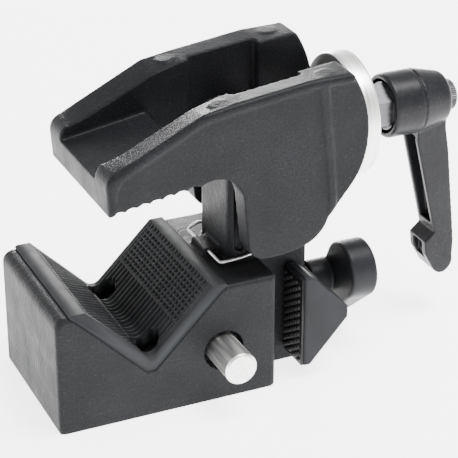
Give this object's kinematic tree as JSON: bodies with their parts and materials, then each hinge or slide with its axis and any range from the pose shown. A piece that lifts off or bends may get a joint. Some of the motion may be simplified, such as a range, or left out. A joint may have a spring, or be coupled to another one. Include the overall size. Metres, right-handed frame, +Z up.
{
  "type": "super clamp",
  "caption": "Studio grip clamp: a padded V jaw and a rocking serrated jaw that a ratchet lever closes through a pressure disc, over a hexagonal spigot socket with a safety pin and a lock knob.",
  "frame": {"origin": "centre of the hexagonal spigot socket's mouth, on the flat bottom face of the lower body", "axes": "+Z up out of the base, along the socket; +X from the jaw's open front to the lever; the safety pin sticks out on the -Y side"},
  "size_m": [0.1376, 0.0602, 0.0945],
  "materials": {
    "body_paint": "satin",
    "jaw_paint": "satin",
    "pad_rubber": "matte",
    "bare_steel": "satin",
    "disc_steel": "satin",
    "dark_steel": "satin",
    "lever_paint": "satin",
    "knob_plastic": "satin",
    "wedge_plastic": "matte",
    "wedge_rubber": "matte",
    "tip_brass": "satin"
  },
  "bodies": {
    "clamp_body": {"lower_body": "body_paint", "jaw_pad": "pad_rubber", "tie_rod": "bare_steel", "tie_rod_cross_pin": "bare_steel", "return_spring_wire": "bare_steel", "safety_pin_spring": "bare_steel"},
    "upper_jaw_body": {"upper_jaw": "jaw_paint"},
    "disc_body": {"pressure_disc": "disc_steel", "thrust_washer": "dark_steel"},
    "lever_nut": {"lever_insert": "dark_steel", "lever_cap_screw": "dark_steel", "lever_spring": "bare_steel"},
    "lever": {"lever_handle": "lever_paint"},
    "screw_tip_body": {"screw_tip": "tip_brass"},
    "t_knob": {"knob_screw": "dark_steel", "knob_grip": "knob_plastic"},
    "safety_pin_body": {"safety_pin": "bare_steel"},
    "wedge": {"wedge_insert": "wedge_plastic", "wedge_pad_right": "wedge_rubber", "wedge_pad_left": "wedge_rubber"}
  },
  "joints": [
    {"name": "upper_jaw_rock", "type": "hinge", "parent": "clamp_body", "child": "upper_jaw_body", "pos_m": [0.0045, 0, 0.062], "axis": [0, -1, 0], "range_deg": [-29.1, 35.9]},
    {"name": "disc_slide", "type": "slide", "parent": "clamp_body", "child": "disc_body", "axis": [-1, 0, 0], "range_m": [-0.0071, 0.00876]},
    {"name": "lever_turn", "type": "hinge", "parent": "disc_body", "child": "lever_nut", "pos_m": [0.04, 0, 0.0722], "axis": [-1, 0, 0], "range_deg": [-1710, 2108]},
    {"name": "lever_lift", "type": "slide", "parent": "lever_nut", "child": "lever", "axis": [1, 0, 0], "range_m": [0, 0.003], "stiffness_N_per_m": 1200, "springref_m": -0.0015, "deforming": ["lever_spring"]},
    {"name": "screw_tip_slide", "type": "slide", "parent": "clamp_body", "child": "screw_tip_body", "axis": [-1, 0, 0], "range_m": [-0.003, 0.0044]},
    {"name": "knob_turn", "type": "hinge", "parent": "screw_tip_body", "child": "t_knob", "pos_m": [0.03, 0, 0.0196], "axis": [-1, 0, 0], "range_deg": [-870, 1272]},
    {"name": "safety_pin_press", "type": "slide", "parent": "clamp_body", "child": "safety_pin_body", "axis": [0, 1, 0], "range_m": [0, 0.0113], "stiffness_N_per_m": 500, "springref_m": -0.004, "deforming": ["safety_pin_spring"]},
    {"name": "wedge_slide", "type": "slide", "parent": "clamp_body", "child": "wedge", "axis": [-1, 0, 0], "range_m": [0, 0.0023]}
  ],
  "couplings": [
    {"joint": "upper_jaw_rock", "follows": "disc_slide", "rad_per_m": 71.429},
    {"joint": "lever_turn", "follows": "disc_slide", "rad_per_m": 4188.8},
    {"joint": "knob_turn", "follows": "screw_tip_slide", "rad_per_m": 5026.6}
  ]
}
